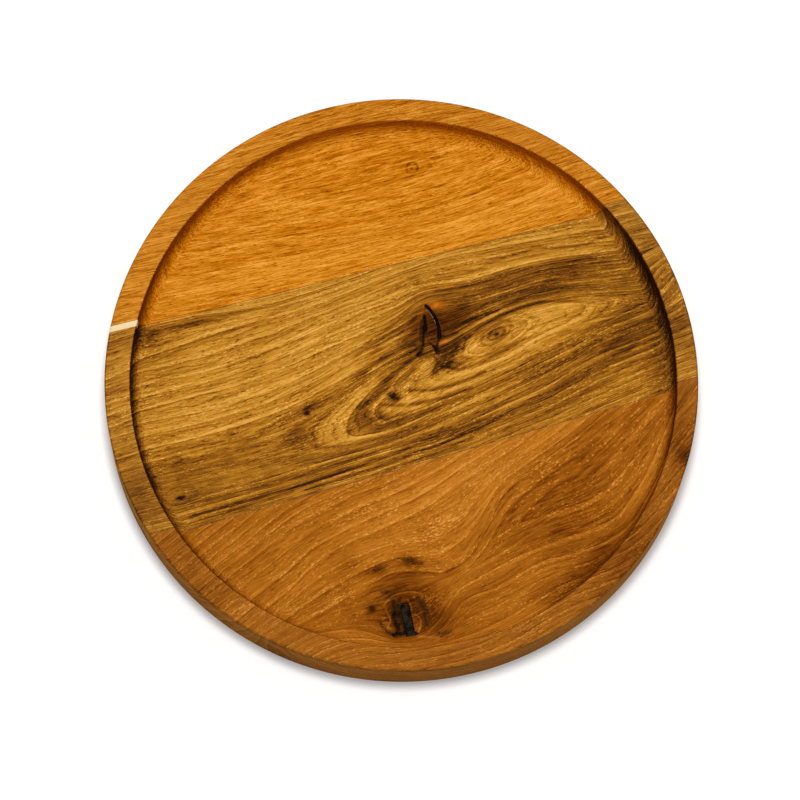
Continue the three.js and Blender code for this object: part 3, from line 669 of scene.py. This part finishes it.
def disc(cells):
    """Square grid bent into a unit disc, with its faces and edge loop.

    x = u*sqrt(1 - v*v/2) and y = v*sqrt(1 - u*u/2), for u and v from -1 to 1.
    """
    across, deep = cells
    u, v = np.meshgrid(np.linspace(-1, 1, across + 1), np.linspace(-1, 1, deep + 1))
    index = np.arange(u.size).reshape(u.shape)
    faces = np.stack([index[:-1, :-1], index[:-1, 1:], index[1:, 1:], index[1:, :-1]], -1).reshape(-1, 4)
    loop = np.concatenate([index[0, :-1], index[:-1, -1], index[-1, :0:-1], index[:0:-1, 0]])
    x = u * np.sqrt(1 - v * v / 2)
    y = v * np.sqrt(1 - u * u / 2)
    return np.stack([x.ravel(), y.ravel()], 1), faces, loop


def tray_profile():
    """Profile (r, z) in two parts: cove to lip, about the recess, and shoulder to foot, about the board."""
    lip = RECESS_RADIUS + RIM_INNER_EASE
    shoulder = BOARD_RADIUS - RIM_OUTER_EASE
    cove = arc(RECESS_RADIUS - COVE_RADIUS, FLOOR_HEIGHT + COVE_RADIUS, COVE_RADIUS, -90, 0, COVE_STEPS)
    lip_arc = arc(lip, BOARD_HEIGHT - RIM_INNER_EASE, RIM_INNER_EASE, 180, 90, EDGE_STEPS)
    inner = np.concatenate([cove, straight(cove[-1], lip_arc[0], WALL_STEPS), lip_arc])
    shoulder_arc = arc(shoulder, BOARD_HEIGHT - RIM_OUTER_EASE, RIM_OUTER_EASE, 90, 0, EDGE_STEPS)
    foot_arc = arc(BOARD_RADIUS - FOOT_EASE, FOOT_EASE, FOOT_EASE, 0, -90, EDGE_STEPS)
    outer = np.concatenate([shoulder_arc, straight(shoulder_arc[-1], foot_arc[0], SIDE_STEPS), foot_arc])
    return inner, outer


def tray():
    """The whole board: a fine disc for the floor, rings of the profile round it, a coarse disc underneath."""
    flat, flat_faces, loop = disc(FLOOR_CELLS)
    plain, plain_faces, plain_loop = disc([cells // UNDER_SHARE for cells in FLOOR_CELLS])
    inner, outer = tray_profile()
    edge = flat[loop]
    inner_rings = RECESS_SHIFT + inner[:, :1, None] * edge
    outer_rings = outer[:, :1, None] * edge
    blend = np.linspace(0, 1, RIM_STEPS + 1)[1:-1, None, None]
    rim_rings = (1 - blend) * inner_rings[-1] + blend * outer_rings[0]
    rings = np.concatenate([inner_rings, rim_rings, outer_rings])
    heights = np.concatenate([inner[:, 1], np.full(RIM_STEPS - 1, BOARD_HEIGHT), outer[:, 1]])
    ring_points = np.dstack([rings, np.broadcast_to(heights[:, None], rings.shape[:2])]).reshape(-1, 3)
    floor_points = np.column_stack([RECESS_SHIFT + inner[0, 0] * flat, np.full(len(flat), inner[0, 1])])
    under_points = np.column_stack([UNDER_REACH * outer[-1, 0] * plain, np.zeros(len(plain))])
    points = np.concatenate([floor_points, under_points, ring_points[len(loop):]])
    later_rows = np.arange(len(flat) + len(plain), len(points)).reshape(-1, len(loop))
    rows = np.concatenate([loop[None], later_rows])
    ahead = np.roll(rows, -1, 1)
    bands = np.stack([rows[:-1], rows[1:], ahead[1:], ahead[:-1]], -1).reshape(-1, 4)
    inner_edge = len(flat) + plain_loop
    outer_edge = np.column_stack([ahead[-1].reshape(-1, UNDER_SHARE)[:, ::-1], rows[-1, ::UNDER_SHARE]])
    hem = np.column_stack([inner_edge, np.roll(inner_edge, -1), outer_edge])
    quads = np.concatenate([flat_faces, len(flat) + plain_faces[:, ::-1], bands])
    return points, quads.tolist() + hem.tolist()


def saw(solid, joint, side):
    """Cuts the board along a joint, keeps one side (+1 is the back) and closes the cut with a flat face."""
    y, turn = joint
    normal = Vector((-math.sin(math.radians(turn)), math.cos(math.radians(turn)), 0)) * side
    geometry = solid.verts[:] + solid.edges[:] + solid.faces[:]
    place = Vector((0, y * MM, 0)) + normal * JOINT_HALF_GAP * MM
    made = bmesh.ops.bisect_plane(solid, geom=geometry, plane_co=place, plane_no=normal,
                                  clear_inner=True, dist=SAW_TOLERANCE)
    edges = [item for item in made["geom_cut"] if isinstance(item, bmesh.types.BMEdge)]
    bmesh.ops.edgeloop_fill(solid, edges=edges)


def refine(solid, zone):
    """Divides the floor's faces more finely in a round zone."""
    centre = Vector((zone.x, zone.y, FLOOR_HEIGHT)) * MM
    inside_zone = {vert for vert in solid.verts if (vert.co - centre).length < zone.radius * MM}
    edges = [edge for edge in solid.edges if edge.verts[0] in inside_zone and edge.verts[1] in inside_zone]
    bmesh.ops.subdivide_edges(solid, edges=edges, cuts=zone.cuts, use_grid_fill=True)


def placed(outline, place, turn):
    """An outline turned about its origin by degrees and moved to its place."""
    c, s = math.cos(math.radians(turn)), math.sin(math.radians(turn))
    return np.array(place) + outline @ np.array([[c, s], [-s, c]])


def crack_outline():
    """Outline of the crack in the middle stave: a band of even width along an arc, with round ends."""
    half = CRACK_LENGTH / 2
    radius = (half ** 2 + CRACK_BULGE ** 2) / (2 * CRACK_BULGE)
    sweep = math.degrees(math.asin(half / radius))
    end_x = radius * math.cos(math.radians(sweep)) - radius
    width = CRACK_WIDTH / 2
    outline = np.concatenate([
        arc(-radius, 0, radius + width, -sweep, sweep, CRACK_STEPS),
        arc(end_x, half, width, sweep, sweep + 180, CRACK_END_STEPS)[1:-1],
        arc(-radius, 0, radius - width, sweep, -sweep, CRACK_STEPS),
        arc(end_x, -half, width, 180 - sweep, 360 - sweep, CRACK_END_STEPS)[1:-1]])
    return placed(outline, CRACK_PLACE, CRACK_TURN)


def slot_outline():
    """Outline of the slot in the front stave: upright, round at the far end, its toe flared to the right."""
    width, near = SLOT_WIDTH / 2, -SLOT_LENGTH / 2
    toe_top = near + SLOT_TOE
    arch = SLOT_LENGTH / 2 - width
    t = np.linspace(0, 1, SLOT_FLARE_POINTS)[:, None]
    start = np.array([width + SLOT_FLARE, toe_top])
    bend = np.array([width, toe_top])
    end = np.array([width, toe_top + SLOT_FLARE_HEIGHT])
    flare = (1 - t) ** 2 * start + 2 * t * (1 - t) * bend + t ** 2 * end
    corners = np.array([[-width, near], [width + SLOT_FLARE, near]])
    outline = np.concatenate([corners, flare, arc(0, arch, width, 0, 180, SLOT_ARCH_STEPS)])
    return placed(outline, SLOT_PLACE, SLOT_TURN)


def inside(x, y, outline):
    """Which points a closed outline holds, by counting its crossings to the right of each."""
    result = np.zeros(len(x), bool)
    for (ax, ay), (bx, by) in zip(outline, np.roll(outline, -1, 0)):
        spans = (ay > y) != (by > y)
        result ^= spans & (x < ax + (bx - ax) * (y - ay) / (by - ay if by != ay else 1))
    return result


def sink(points, outline):
    """Lowers the floor to a pocket around an outline. Points just outside its edge move onto the edge."""
    x, y, z = points.T
    on_floor = np.abs(z - FLOOR_HEIGHT) < FLOOR_TOLERANCE
    close = np.flatnonzero(around(x, y, outline, POCKET_REACH) & on_floor)
    x, y = x[close], y[close]
    gap, place = nearest(x, y, np.concatenate([outline, outline[:1]]))
    gap = np.where(inside(x, y, outline), -gap, gap)
    edge = (gap >= RESIN_CLEARANCE) & (gap < RESIN_CLEARANCE + EDGE_SNAP)
    out = (np.stack([x, y], 1) - place) / gap[:, None]
    points[close[edge], :2] = place[edge] + out[edge] * RESIN_CLEARANCE
    points[close[gap < RESIN_CLEARANCE], 2] = RESIN_TOP - RESIN_DEPTH - RESIN_CLEARANCE


def finish_piece(piece, material, node):
    """Smooth shading, material, and the piece's place in the frame."""
    mesh = piece.data
    mesh.polygons.foreach_set("use_smooth", np.ones(len(mesh.polygons), bool))
    mesh.set_sharp_from_angle(angle=SHARP_EDGE)
    mesh.materials.append(material)
    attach(piece, "root")
    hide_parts(node)


def stave(node, cuts, figure, material, pockets=()):
    """One stave of the board, cut at its joints, with its growth figure kept at every point."""
    mesh = new_mesh(node + "_wood", *tray())
    solid = bmesh.new()
    solid.from_mesh(mesh)
    for joint, side in cuts:
        saw(solid, joint, side)
    for zone in figure["zones"]:
        refine(solid, zone)
    solid.to_mesh(mesh)
    solid.free()
    points = np.empty(len(mesh.vertices) * 3, np.float32)
    mesh.vertices.foreach_get("co", points)
    points = points.reshape(-1, 3).astype(float) / MM
    x, y, _ = points.T
    ring, cross = growth(points, figure)
    fields = {"ring": ring, "cross": cross, "shade": toning(points, ring, figure),
              "char": marked(x, y, figure["cores"]), "warm": marked(x, y, figure["warmth"]),
              "sap": sapwood_and_highlight(points, figure), "dull": wear_and_side_shade(points)}
    for name, values in fields.items():
        mesh.attributes.new(name, "FLOAT", "POINT").data.foreach_set("value", values.astype(np.float32))
    for outline in pockets:
        sink(points, outline)
    mesh.vertices.foreach_set("co", (points * MM).astype(np.float32).ravel())
    mesh.update()
    finish_piece(new_object(node + "_wood", mesh), material, node)


def resin_fill(node, outline, lip, material):
    """Resin in a pocket: a prism on the outline, whose top dips a little inside a thin lip along its edge."""
    along = np.roll(outline, -1, 0) - np.roll(outline, 1, 0)
    inwards = np.stack([-along[:, 1], along[:, 0]], 1) / np.hypot(*along.T)[:, None]
    insets = LIP_SHARES * lip
    dips = RESIN_DIP * (1 - (1 - np.minimum(LIP_SHARES, 1)) ** 2)
    heights = np.concatenate([[RESIN_TOP - RESIN_DEPTH], RESIN_TOP - dips[1:]])
    loops = [np.column_stack([outline + inset * inwards, np.full(len(outline), height)])
             for inset, height in zip(insets, heights)]
    count = len(outline)
    rows = np.arange(len(loops) * count).reshape(len(loops), count)
    ahead = np.roll(rows, -1, 1)
    bands = np.stack([rows[:-1], ahead[:-1], ahead[1:], rows[1:]], -1).reshape(-1, 4)
    faces = [*bands.tolist(), rows[0][::-1].tolist(), rows[-1].tolist()]
    mesh = new_mesh(node + "_resin", np.concatenate(loops), faces)
    finish_piece(new_object(node + "_resin", mesh), material, node)


# Materials

def put(tree, kind, inputs=(), **settings):
    """Adds a node, sets its properties and feeds its inputs: a socket is linked, a value is set."""
    node = tree.nodes.new(kind)
    for key, value in settings.items():
        setattr(node, key, value)
    for key, value in dict(inputs).items():
        if isinstance(value, bpy.types.NodeSocket):
            tree.links.new(value, node.inputs[key])
        else:
            node.inputs[key].default_value = value
    return node


def calc(tree, operation, first, second=0.0, third=0.0):
    """A Math node's result."""
    return put(tree, "ShaderNodeMath", {0: first, 1: second, 2: third}, operation=operation).outputs[0]


def times(tree, first, second):
    """Two values multiplied."""
    return calc(tree, "MULTIPLY", first, second)


def add_share(tree, value, amount, base):
    """A value's share added to a base."""
    return calc(tree, "MULTIPLY_ADD", value, amount, base)


def scaled(tree, point, x, y, z):
    """A point stretched by one factor an axis."""
    return put(tree, "ShaderNodeVectorMath", {0: point, 1: (x, y, z)}, operation="MULTIPLY").outputs[0]


def moved(tree, point, x, y, z):
    """A point shifted, so that one noise differs from another."""
    return put(tree, "ShaderNodeVectorMath", {0: point, 1: (x, y, z)}, operation="ADD").outputs[0]


def noise(tree, point, detail=2.0):
    """Noise from -0.5 to 0.5."""
    inputs = {"Vector": point, "Scale": 1.0, "Detail": detail}
    return calc(tree, "SUBTRACT", put(tree, "ShaderNodeTexNoise", inputs).outputs["Fac"], 0.5)


def grain_noise(tree, point, long, wide, detail=2.0):
    """Noise whose marks are about as many millimetres long along the grain, and wide across it, as given."""
    return noise(tree, scaled(tree, point, 1 / long, 1 / wide, 1 / wide), detail)


def cloud_noise(tree, point, per_metre, detail):
    """Noise alike in every direction, by its marks in a metre."""
    return noise(tree, scaled(tree, point, per_metre, per_metre, per_metre), detail)


def between(tree, value, low, high, to_low=0.0, to_high=1.0):
    """A value carried smoothly from one range to another."""
    inputs = {"Value": value, "From Min": low, "From Max": high, "To Min": to_low, "To Max": to_high}
    return put(tree, "ShaderNodeMapRange", inputs, interpolation_type="SMOOTHSTEP").outputs["Result"]


def mixed(tree, share, first, second):
    """Two colours mixed by a share of the second."""
    return put(tree, "ShaderNodeMix", {0: share, 6: first, 7: second}, data_type="RGBA").outputs[2]


def bump(tree, height, strength, distance):
    """A normal from a height."""
    inputs = {"Height": height, "Strength": strength, "Distance": distance}
    return put(tree, "ShaderNodeBump", inputs).outputs["Normal"]


def new_group(name, inputs, outputs):
    """An empty shader node group with named sockets, with its input and output nodes."""
    tree = bpy.data.node_groups.new(name, "ShaderNodeTree")
    for label, kind in inputs:
        tree.interface.new_socket(label, in_out="INPUT", socket_type=kind)
    for label in outputs:
        tree.interface.new_socket(label, in_out="OUTPUT", socket_type="NodeSocketFloat")
    return tree, tree.nodes.new("NodeGroupInput").outputs, tree.nodes.new("NodeGroupOutput").inputs


def ring_group():
    """Growth rings: each darkens slowly to a late-wood line, and rings differ in strength and in shade."""
    tree, given, result = new_group(
        "Growth rings",
        [("Grain Point", "NodeSocketVector"), ("Ring", "NodeSocketFloat"), ("Waver", "NodeSocketFloat")],
        ["Line", "Fine Line", "Band", "Early"])
    point = given["Grain Point"]
    slow = grain_noise(tree, point, 70, 22)
    quick = grain_noise(tree, point, 14, 5)
    count = add_share(tree, add_share(tree, quick, 0.3, slow), given["Waver"], given["Ring"])
    phase = calc(tree, "FRACT", count)
    cell = put(tree, "ShaderNodeTexWhiteNoise", {"W": calc(tree, "FLOOR", count)}, noise_dimensions="1D")
    chance = cell.outputs["Value"]
    strength = between(tree, chance, 0, 1, 0.5, 1.0)
    patch = between(tree, grain_noise(tree, point, 35, 9), -0.2, 0.15, 0.4, 1.0)
    sharp = times(tree, calc(tree, "POWER", phase, 9.0), 0.5)
    late = add_share(tree, calc(tree, "POWER", phase, 2.5), 0.55, sharp)
    late = calc(tree, "ADD", late, between(tree, phase, 0.0, 0.07, 0.6, 0.0))
    fine_count = add_share(tree, count, 2.7, times(tree, quick, 1.5))
    fine = calc(tree, "POWER", calc(tree, "FRACT", fine_count), 4.0)
    tree.links.new(times(tree, late, times(tree, strength, patch)), result["Line"])
    tree.links.new(times(tree, fine, patch), result["Fine Line"])
    tree.links.new(calc(tree, "SUBTRACT", chance, 0.5), result["Band"])
    tree.links.new(between(tree, phase, 0.05, 0.4, 1.0, 0.0), result["Early"])


def fibre_group():
    """Fibres drawn out along the grain: long streaks, dark pores, pale flecks and slow mottling."""
    tree, given, result = new_group(
        "Fibres", [("Grain Point", "NodeSocketVector"), ("Early", "NodeSocketFloat")],
        ["Streak", "Fibre", "Pores", "Flecks", "Mottle"])
    point = given["Grain Point"]
    pores = grain_noise(tree, moved(tree, point, 37, 11, 5), 3.6, 0.5, 1)
    flecks = grain_noise(tree, moved(tree, point, -61, 23, 9), 1.5, 0.36, 1)
    crowd = grain_noise(tree, moved(tree, point, 19, -7, 31), 30, 8)
    flecks = add_share(tree, given["Early"], 0.06, add_share(tree, crowd, 0.35, flecks))
    tree.links.new(grain_noise(tree, point, 34, 1.5, 3), result["Streak"])
    tree.links.new(grain_noise(tree, point, 8, 0.45), result["Fibre"])
    tree.links.new(between(tree, pores, 0.1, 0.2), result["Pores"])
    tree.links.new(between(tree, flecks, 0.13, 0.24), result["Flecks"])
    tree.links.new(grain_noise(tree, point, 26, 11), result["Mottle"])


def from_srgb(colour):
    """Linear colour from 0-255 screen values."""
    c = np.array(colour) / 255
    return (*np.where(c <= 0.04045, c / 12.92, ((c + 0.055) / 1.055) ** 2.4), 1.0)


def ramp(tree, value, stops):
    """A colour ramp through (place, screen colour) stops."""
    node = put(tree, "ShaderNodeValToRGB", {"Fac": value})
    elements = node.color_ramp.elements
    while len(elements) < len(stops):
        elements.new(0.5)
    for element, (place, colour) in zip(elements, stops):
        element.position = place
        element.color = from_srgb(colour)
    return node.outputs["Color"]


def new_material(name):
    """A material with only a Principled BSDF and its output."""
    made = bpy.data.materials.new(name)
    made.use_nodes = True
    return made, made.node_tree, made.node_tree.nodes["Principled BSDF"]


def constants(shader, **values):
    """Sets inputs of a shader to constants, an underscore standing for a space in each name."""
    for key, value in values.items():
        shader.inputs[key.replace("_", " ")].default_value = value


BACK_COLOURS = [(0.0, (240, 164, 64)), (0.2, (222, 144, 42)), (0.4, (202, 122, 18)), (0.6, (180, 99, 2)),
                (0.8, (150, 76, 0)), (1.0, (96, 46, 0))]
MIDDLE_COLOURS = [(0.0, (236, 175, 84)), (0.15, (218, 156, 62)), (0.35, (189, 128, 35)),
                  (0.55, (153, 94, 22)), (0.75, (115, 66, 17)), (0.9, (76, 42, 11)), (1.0, (40, 22, 6))]
FRONT_COLOURS = [(0.0, (222, 152, 72)), (0.2, (202, 128, 40)), (0.4, (176, 104, 24)), (0.6, (148, 82, 15)),
                 (0.8, (112, 54, 5)), (1.0, (62, 28, 3))]
WARM_COLOURS = [(0.0, (214, 128, 24)), (0.35, (160, 82, 12)), (0.65, (104, 46, 6)), (1.0, (44, 16, 2))]
KNOT_COLOURS = [(0.2, (106, 58, 15)), (0.5, (66, 35, 9)), (0.8, (34, 17, 5)), (1.0, (15, 8, 3))]
DULL_COLOURS = [(0.0, (198, 150, 84)), (0.35, (162, 116, 58)), (0.7, (114, 76, 36)), (1.0, (60, 38, 16))]
GLUE_COLOURS = [(0.3, (58, 34, 14)), (0.7, (88, 54, 24))]
RESIN_COLOURS = [(0.35, (9, 7, 5)), (0.75, (34, 24, 12))]
# Pale sapwood, also the colour of the painted highlight beside the crack
SAPWOOD_AND_HIGHLIGHT = from_srgb((240, 214, 164))

# Tone of the wood: amounts of mottling and end grain, and what is left of end grain on the dry side
MOTTLE = 0.2
END_GRAIN = 0.44
END_GRAIN_ON_SIDE = 0.1

# How much streaks and fibres break up the stains, and fibres and grit the cores of the knots
STAIN_STREAKS = 1.4
STAIN_FIBRE = 0.5
CORE_FIBRE = 0.6
CORE_GRIT = 1.6
GRIT_PER_METRE = 800

# Share of the dry palette where the wood is worn, and the darker reading of the warm palette
DULL_SHARE = 0.45
WARM_DARKER = 0.1

# Roughness of oiled and of dry wood, more of it in the pores, and relief of the grain in metres
OILED_ROUGHNESS = 0.58
DRY_ROUGHNESS = 1.0
PORE_ROUGHNESS = 0.15
STREAK_RELIEF = 0.6
GRAIN_RELIEF = 0.0001


def wood(name, colours, base, waver, line, early, fine, band, streaks, fibre, pores, flecks):
    """Oiled hardwood: a tone from rings, fibres, stains, painted shade and end grain is read through the
    stave's colours.
    """
    made, tree, shader = new_material(name)
    where = put(tree, "ShaderNodeTexCoord").outputs
    place = put(tree, "ShaderNodeSeparateXYZ", {0: scaled(tree, where["Object"], 1000, 1000, 1000)}).outputs
    facing = put(tree, "ShaderNodeSeparateXYZ", {0: where["Normal"]}).outputs
    field = {key: put(tree, "ShaderNodeAttribute", attribute_name=key).outputs["Fac"]
             for key in ("ring", "cross", "shade", "char", "warm", "sap", "dull")}
    grain = put(tree, "ShaderNodeCombineXYZ", {0: place[0], 1: field["cross"], 2: place[2]}).outputs[0]
    rings = put(tree, "ShaderNodeGroup", {"Grain Point": grain, "Ring": field["ring"], "Waver": waver},
                node_tree=bpy.data.node_groups["Growth rings"]).outputs
    fibres = put(tree, "ShaderNodeGroup", {"Grain Point": grain, "Early": rings["Early"]},
                 node_tree=bpy.data.node_groups["Fibres"]).outputs

    # Tone: stains and painted shade broken up by the grain, then the marks that dull wood, stains and painted
    # shade cover, then the others
    broken = add_share(tree, fibres["Streak"], STAIN_STREAKS * streaks,
                       add_share(tree, fibres["Fibre"], STAIN_FIBRE, 1.0))
    tone = add_share(tree, field["shade"], broken, base)
    clear = between(tree, field["dull"], 0, RIM_WEAR, 1.0, 0.9)
    clear = times(tree, clear, between(tree, field["warm"], 0, 1, 1.0, 0.3))
    drawn = times(tree, clear, between(tree, field["shade"], -0.1, 0.5, 1.15, 0.65))
    for part, share, amount in ((rings["Line"], drawn, line), (rings["Early"], drawn, -early),
                                (rings["Fine Line"], drawn, fine), (fibres["Pores"], drawn, pores),
                                (fibres["Flecks"], clear, -flecks)):
        tone = add_share(tree, times(tree, part, share), amount, tone)
    end_grain = calc(tree, "POWER", facing[0], 2.0)
    end_grain = times(tree, end_grain, between(tree, field["dull"], RIM_WEAR, 1.0, 1.0, END_GRAIN_ON_SIDE))
    for part, amount in ((rings["Band"], band), (fibres["Streak"], streaks), (fibres["Fibre"], fibre),
                         (fibres["Mottle"], MOTTLE), (end_grain, END_GRAIN)):
        tone = add_share(tree, part, amount, tone)

    # Colour: the stave's palette, then warm stains, dry wood, the cores of knots, and sapwood and the painted
    # highlight over it
    warm = ramp(tree, calc(tree, "ADD", tone, WARM_DARKER), WARM_COLOURS)
    colour = mixed(tree, field["warm"], ramp(tree, tone, colours), warm)
    colour = mixed(tree, times(tree, field["dull"], DULL_SHARE), colour, ramp(tree, tone, DULL_COLOURS))
    grit = cloud_noise(tree, where["Object"], GRIT_PER_METRE, 4)
    core = times(tree, field["char"], add_share(tree, fibres["Fibre"], CORE_FIBRE, 1.0))
    core = times(tree, core, add_share(tree, grit, CORE_GRIT, 1.0))
    colour = mixed(tree, between(tree, core, 0.1, 0.65), colour, ramp(tree, core, KNOT_COLOURS))
    colour = mixed(tree, between(tree, field["sap"], 0.0, 0.4), colour, SAPWOOD_AND_HIGHLIGHT)
    tree.links.new(colour, shader.inputs["Base Color"])

    # Finish
    dry = between(tree, field["dull"], RIM_WEAR, 1.0, OILED_ROUGHNESS, DRY_ROUGHNESS)
    tree.links.new(add_share(tree, fibres["Pores"], PORE_ROUGHNESS, dry), shader.inputs["Roughness"])
    height = add_share(tree, fibres["Pores"], -1.0, times(tree, fibres["Streak"], STREAK_RELIEF))
    tree.links.new(bump(tree, height, 0.6, GRAIN_RELIEF), shader.inputs["Normal"])
    constants(shader, Specular_IOR_Level=0.02, Specular_Tint=(1.0, 0.6, 0.2, 1))
    return made


def glue_material():
    """Cured brown glue, a little uneven."""
    made, tree, shader = new_material("dark_glue")
    place = put(tree, "ShaderNodeTexCoord").outputs["Object"]
    cloud = cloud_noise(tree, place, 400, 3)
    tree.links.new(ramp(tree, calc(tree, "ADD", cloud, 0.5), GLUE_COLOURS), shader.inputs["Base Color"])
    constants(shader, Roughness=0.6)
    return made


def resin_material():
    """Dark glossy resin, brownish where it is thin, with a faintly rippled top."""
    made, tree, shader = new_material("dark_resin")
    place = put(tree, "ShaderNodeTexCoord").outputs["Object"]
    cloud = cloud_noise(tree, place, 300, 3)
    tree.links.new(ramp(tree, calc(tree, "ADD", cloud, 0.5), RESIN_COLOURS), shader.inputs["Base Color"])
    tree.links.new(between(tree, cloud, -0.2, 0.2, 0.05, 0.12), shader.inputs["Roughness"])
    ripple = cloud_noise(tree, place, 700, 2)
    tree.links.new(bump(tree, ripple, 0.05, 0.0002), shader.inputs["Normal"])
    constants(shader, Specular_IOR_Level=0.03, Specular_Tint=(1.0, 0.85, 0.7, 1))
    return made


# Stage

def floor():
    """A grey floor, lifted to white where it is seen or reflected, that still takes a light shadow."""
    corners = np.array([(-1, -1, 0), (1, -1, 0), (1, 1, 0), (-1, 1, 0)]) * FLOOR_REACH - (0, 0, FLOOR_DROP)
    mesh = new_mesh("floor", corners, [(0, 1, 2, 3)])
    made, tree, shader = new_material("studio_floor")
    constants(shader, Base_Color=(FLOOR_GREY, FLOOR_GREY, FLOOR_GREY, 1), Roughness=1.0,
              Specular_IOR_Level=0.0, Emission_Color=(1, 1, 1, 1))
    path = put(tree, "ShaderNodeLightPath").outputs
    seen = calc(tree, "MAXIMUM", path["Is Camera Ray"], path["Is Glossy Ray"])
    seen = calc(tree, "MAXIMUM", seen, path["Is Transmission Ray"])
    tree.links.new(times(tree, seen, FLOOR_LIFT), shader.inputs["Emission Strength"])
    mesh.materials.append(made)
    new_object("floor", mesh)


def light():
    """An even white surround and one square soft lamp above, which points at the board."""
    world = bpy.context.scene.world or bpy.data.worlds.new("studio")
    bpy.context.scene.world = world
    world.use_nodes = True
    constants(world.node_tree.nodes["Background"], Color=(1, 1, 1, 1), Strength=SURROUND)
    lamp = bpy.data.lights.new("overhead", "AREA")
    lamp.shape = "SQUARE"
    lamp.size = LAMP_SIZE
    lamp.energy = LAMP_POWER
    box = new_object("overhead", lamp)
    box.location = LAMP_PLACE
    box.rotation_euler = (-Vector(LAMP_PLACE)).to_track_quat("-Z", "Y").to_euler()


def camera():
    """Camera at the fitted place: back along the elevation and turn, then rolled about its own axis."""
    turn = Matrix.Rotation(VIEW_TURN, 3, "Z")
    back = turn @ Vector((0, -math.cos(VIEW_ELEVATION), math.sin(VIEW_ELEVATION)))
    right = Matrix.Rotation(VIEW_ROLL, 3, -back) @ (turn @ Vector((1, 0, 0)))
    up = back.cross(right)
    data = bpy.data.cameras.new("camera")
    data.lens = VIEW_LENS
    data.sensor_width = VIEW_SENSOR
    eye = new_object("camera", data)
    pose = Matrix((right, up, back)).transposed().to_4x4()
    pose.translation = turn @ VIEW_TARGET + back * VIEW_DISTANCE
    eye.matrix_world = pose
    bpy.context.scene.camera = eye


camera()
light()
floor()
bpy.context.scene.view_settings.view_transform = "Standard"

ring_group()
fibre_group()
back_wood = wood("back_wood", BACK_COLOURS, base=0.33, waver=0.5, line=0.12, early=0.06, fine=0.12,
                 band=0.05, streaks=0.5, fibre=1.5, pores=0.3, flecks=0.3)
middle_wood = wood("middle_wood", MIDDLE_COLOURS, base=0.28, waver=0.4, line=0.25, early=0.12, fine=0.28,
                   band=0.06, streaks=0.4, fibre=0.7, pores=0.3, flecks=0.36)
front_wood = wood("front_wood", FRONT_COLOURS, base=0.368, waver=0.4, line=0.22, early=0.08, fine=0.1,
                  band=0.04, streaks=0.14, fibre=0.6, pores=0.16, flecks=0.4)
resin = resin_material()
glue = glue_material()

stave("back_stave", [(BACK_JOINT, 1)], BACK_FIGURE, back_wood)
stave("middle_stave", [(BACK_JOINT, -1), (FRONT_JOINT, 1)], MIDDLE_FIGURE, middle_wood, [crack_outline()])
stave("front_stave", [(FRONT_JOINT, -1)], FRONT_FIGURE, front_wood, [slot_outline()])
resin_fill("middle_knot_fill", crack_outline(), CRACK_LIP, resin)
resin_fill("front_knot_fill", slot_outline(), SLOT_LIP, resin)

for node in ("back_glue_line", "front_glue_line"):
    slots = frame["nodes"][node].data.materials
    slots.clear()
    slots.append(glue)
